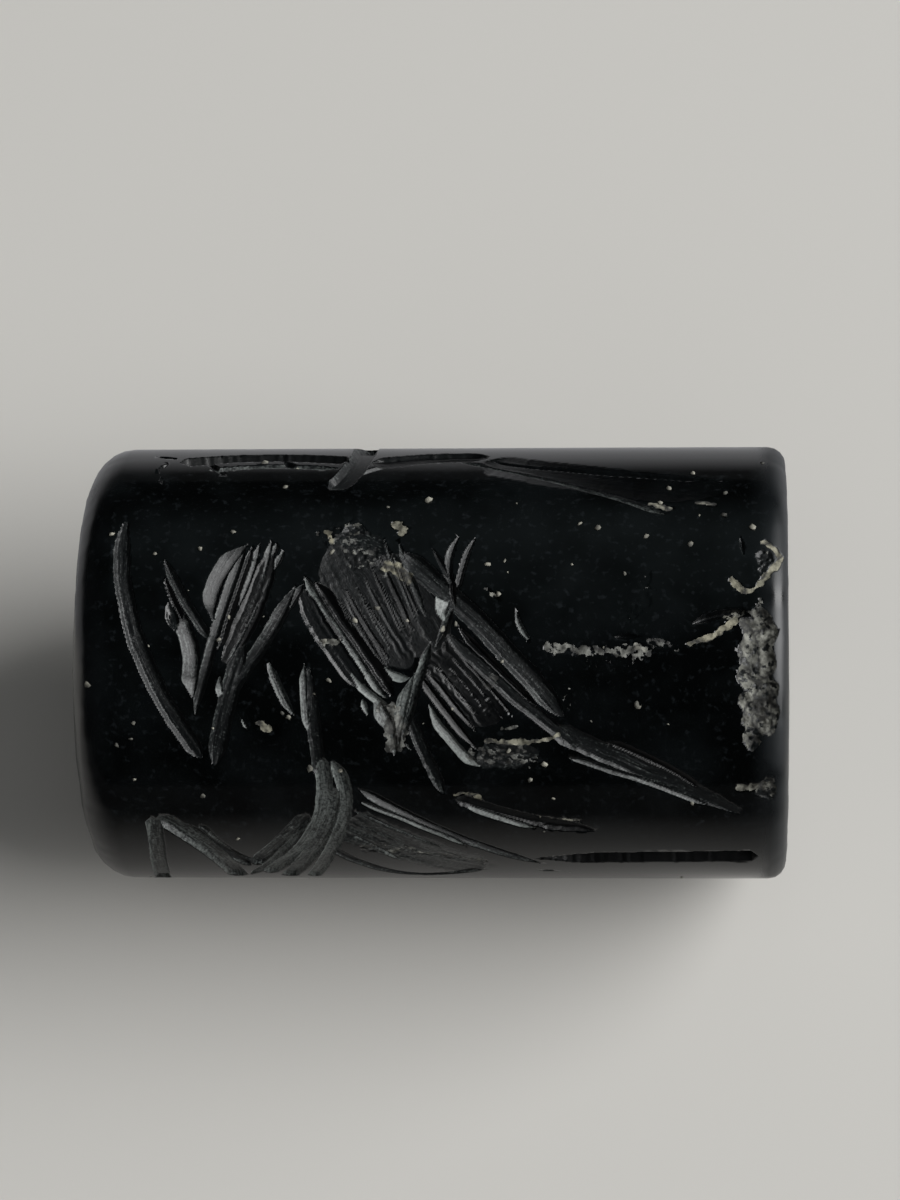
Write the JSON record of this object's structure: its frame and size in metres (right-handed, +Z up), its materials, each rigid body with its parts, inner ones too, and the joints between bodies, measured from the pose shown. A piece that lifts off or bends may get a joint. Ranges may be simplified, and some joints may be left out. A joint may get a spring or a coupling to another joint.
{
  "type": "cylinder seal",
  "caption": "Carved ancient cylinder seal of polished black stone with a string hole through its length, lying on its side.",
  "frame": {"origin": "middle of the seal's underside, on the surface that its resting flat lies on", "axes": "+X along the seal's axis toward its crisper end, +Z up, -Y toward the best kept carving"},
  "size_m": [0.025, 0.0156, 0.0155],
  "materials": {
    "black_stone": "polished, with matt grey cuts"
  },
  "bodies": {
    "root": {"cylinder_seal": "black_stone"}
  },
  "joints": []
}
